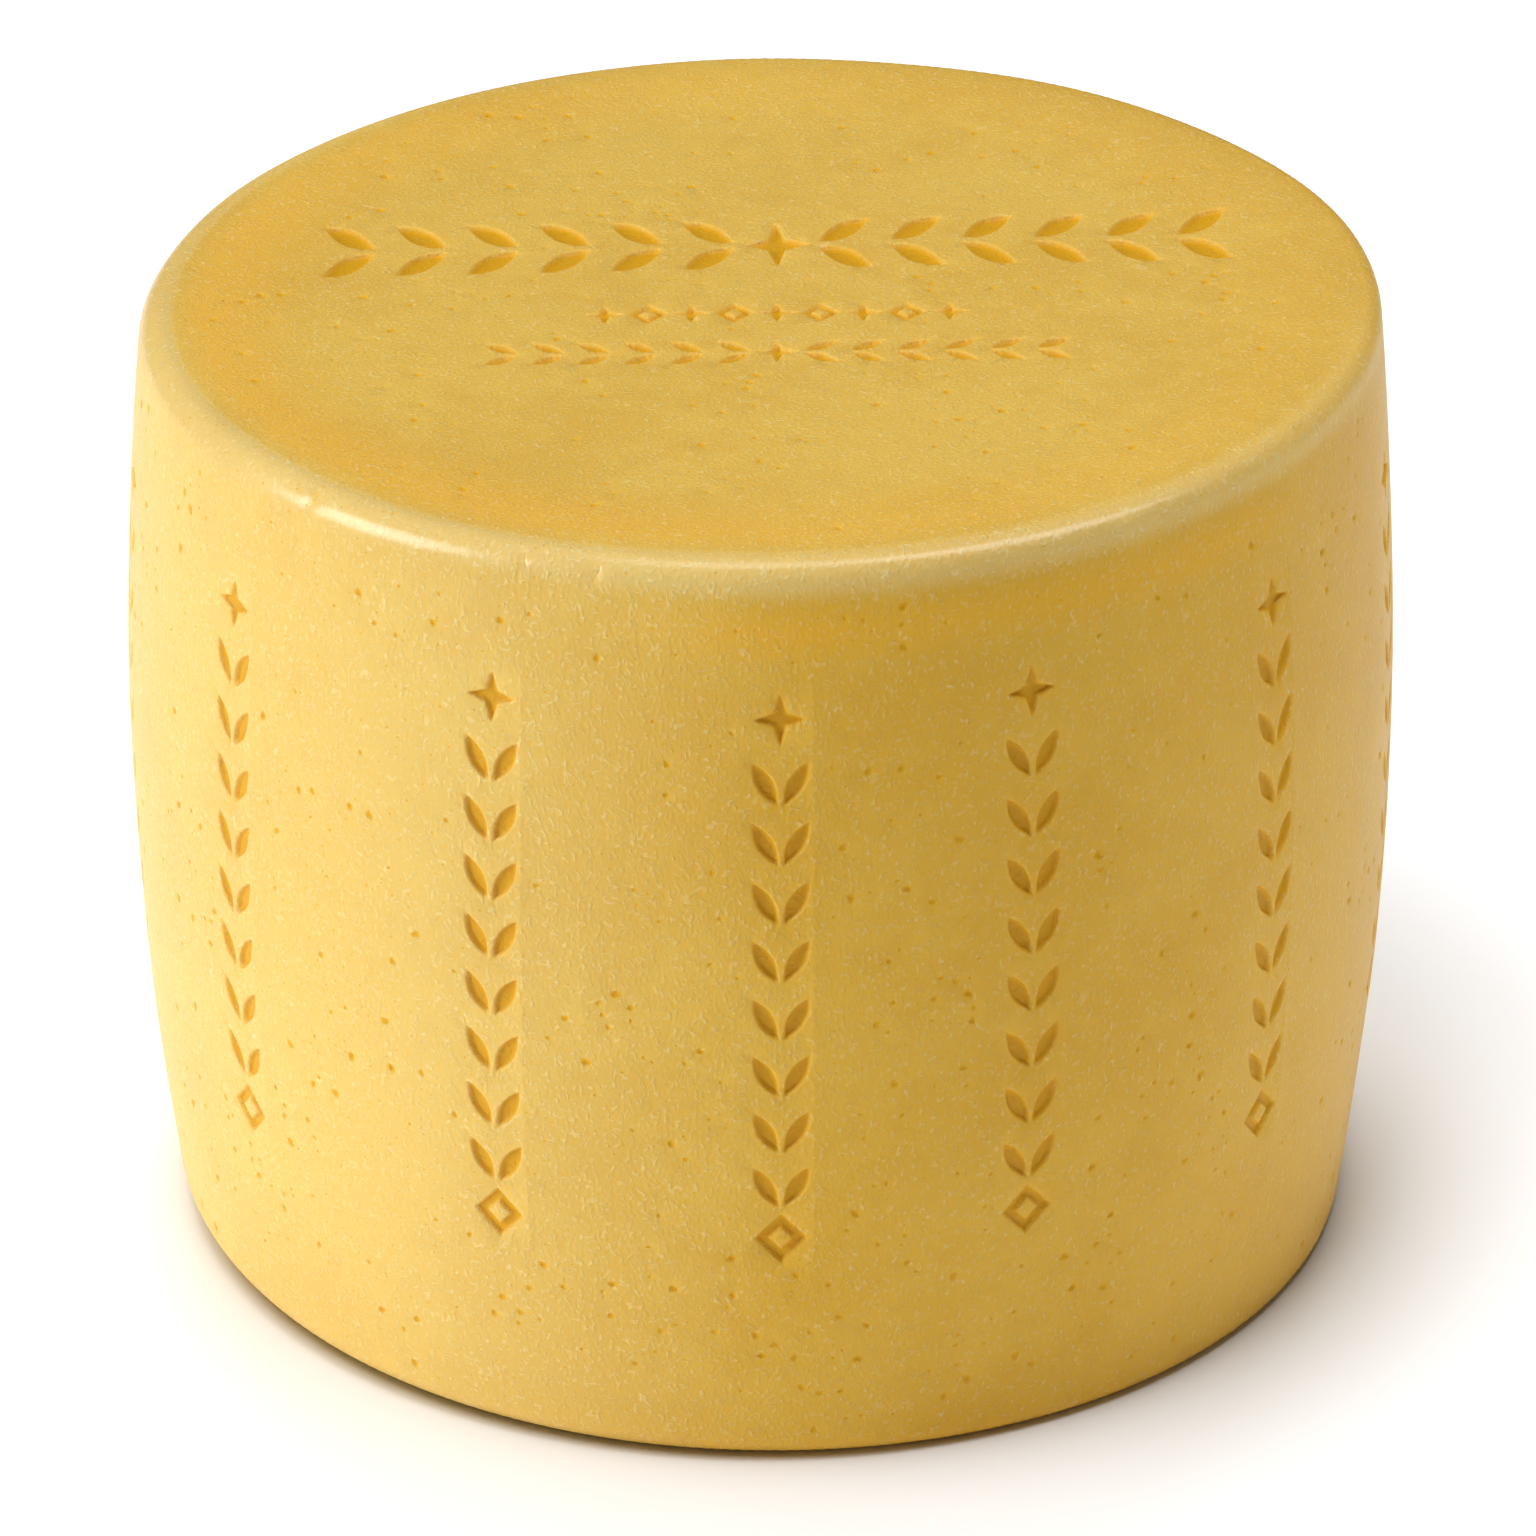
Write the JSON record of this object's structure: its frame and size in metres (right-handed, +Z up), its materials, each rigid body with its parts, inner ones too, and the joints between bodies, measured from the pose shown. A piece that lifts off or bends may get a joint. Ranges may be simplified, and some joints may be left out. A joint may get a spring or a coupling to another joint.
{
  "type": "cheese wheel",
  "caption": "Tall drum of hard long-aged cheese with bulging sides, rounded rims and ornaments pressed into its smooth rind.",
  "frame": {"origin": "middle of the flat base, on the surface that the wheel stands on", "axes": "+Z up through the middle of the wheel, -Y towards the front, +X towards the slightly thicker side"},
  "size_m": [0.35, 0.35, 0.2724],
  "materials": {
    "rind": "smooth waxy cheese rind, satin, faintly translucent"
  },
  "bodies": {
    "root": {"cheese_wheel": "rind"}
  },
  "joints": []
}
